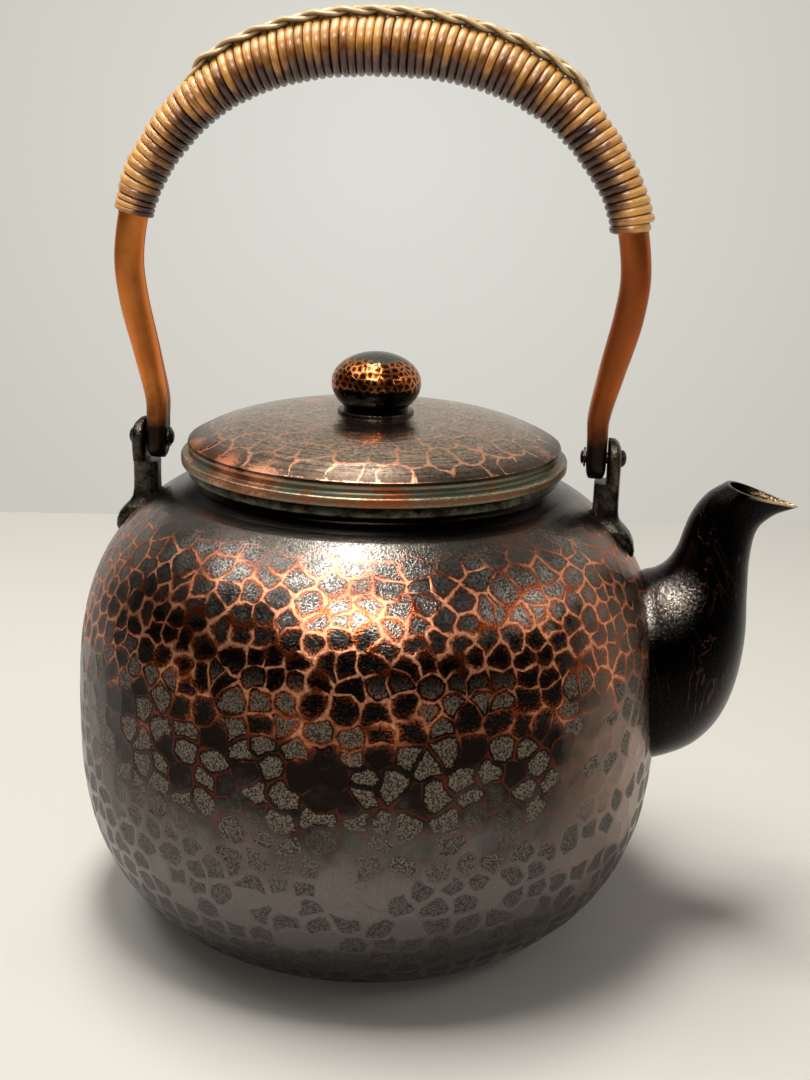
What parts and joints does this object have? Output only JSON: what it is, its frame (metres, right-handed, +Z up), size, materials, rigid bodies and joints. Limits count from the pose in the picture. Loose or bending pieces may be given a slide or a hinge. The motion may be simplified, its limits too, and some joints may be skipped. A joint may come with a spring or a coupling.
{
  "type": "kettle",
  "caption": "Hammered copper kettle with a rounded body, a lift-off domed lid with a round knob, a curved beak spout and a swinging bail handle wound with rattan.",
  "frame": {"origin": "middle of the flat base, on the surface that the kettle stands on", "axes": "+Z up through the lid and the bail, +X towards the spout, +Y across the kettle, along the horizontal line that the bail swings over"},
  "size_m": [0.2301, 0.1898, 0.2914],
  "materials": {
    "hammered_shell": "hammered copper, dark patina with worn orange lines",
    "rim_bronze": "smooth dark patina",
    "spout_shell": "glossy near-black patina",
    "ear_bronze": "cast bronze, dark with rubbed edges",
    "bare_copper": "plain copper",
    "hammered_lid": "hammered copper, brown patina with worn orange lines",
    "knob_shell": "black patina with a fine net of orange copper",
    "bail_copper": "rubbed copper tube",
    "rattan": "varnished aged cane",
    "pale_rattan": "pale aged cane"
  },
  "bodies": {
    "kettle": {"kettle_body": "hammered_shell", "mouth_ring": "rim_bronze", "spout": "spout_shell", "ear_spout_side": "ear_bronze", "ear_washer_spout_side": "bare_copper", "hinge_rivet_spout_side": "ear_bronze", "hinge_washer_spout_side": "ear_bronze", "ear_back_side": "ear_bronze", "ear_washer_back_side": "bare_copper", "hinge_rivet_back_side": "ear_bronze", "hinge_washer_back_side": "ear_bronze"},
    "lid": {"lid_plate": "hammered_lid", "lid_collar": "bare_copper", "knob_seat": "hammered_lid", "lid_knob": "knob_shell", "knob_washer": "bare_copper", "knob_stud": "bare_copper"},
    "bail": {"bail_tube": "bail_copper", "rattan_wrap": "rattan", "rattan_end_binding": "rattan", "rattan_braid": "pale_rattan"}
  },
  "joints": [
    {"name": "bail_swing", "type": "hinge", "parent": "kettle", "child": "bail", "pos_m": [0, 0, 0.1556], "axis": [1, 0, 0], "range_deg": [-100, 100]},
    {"name": "lid_lift", "type": "slide", "parent": "kettle", "child": "lid", "axis": [0, 0, 1], "range_m": [0, 0.075]}
  ]
}
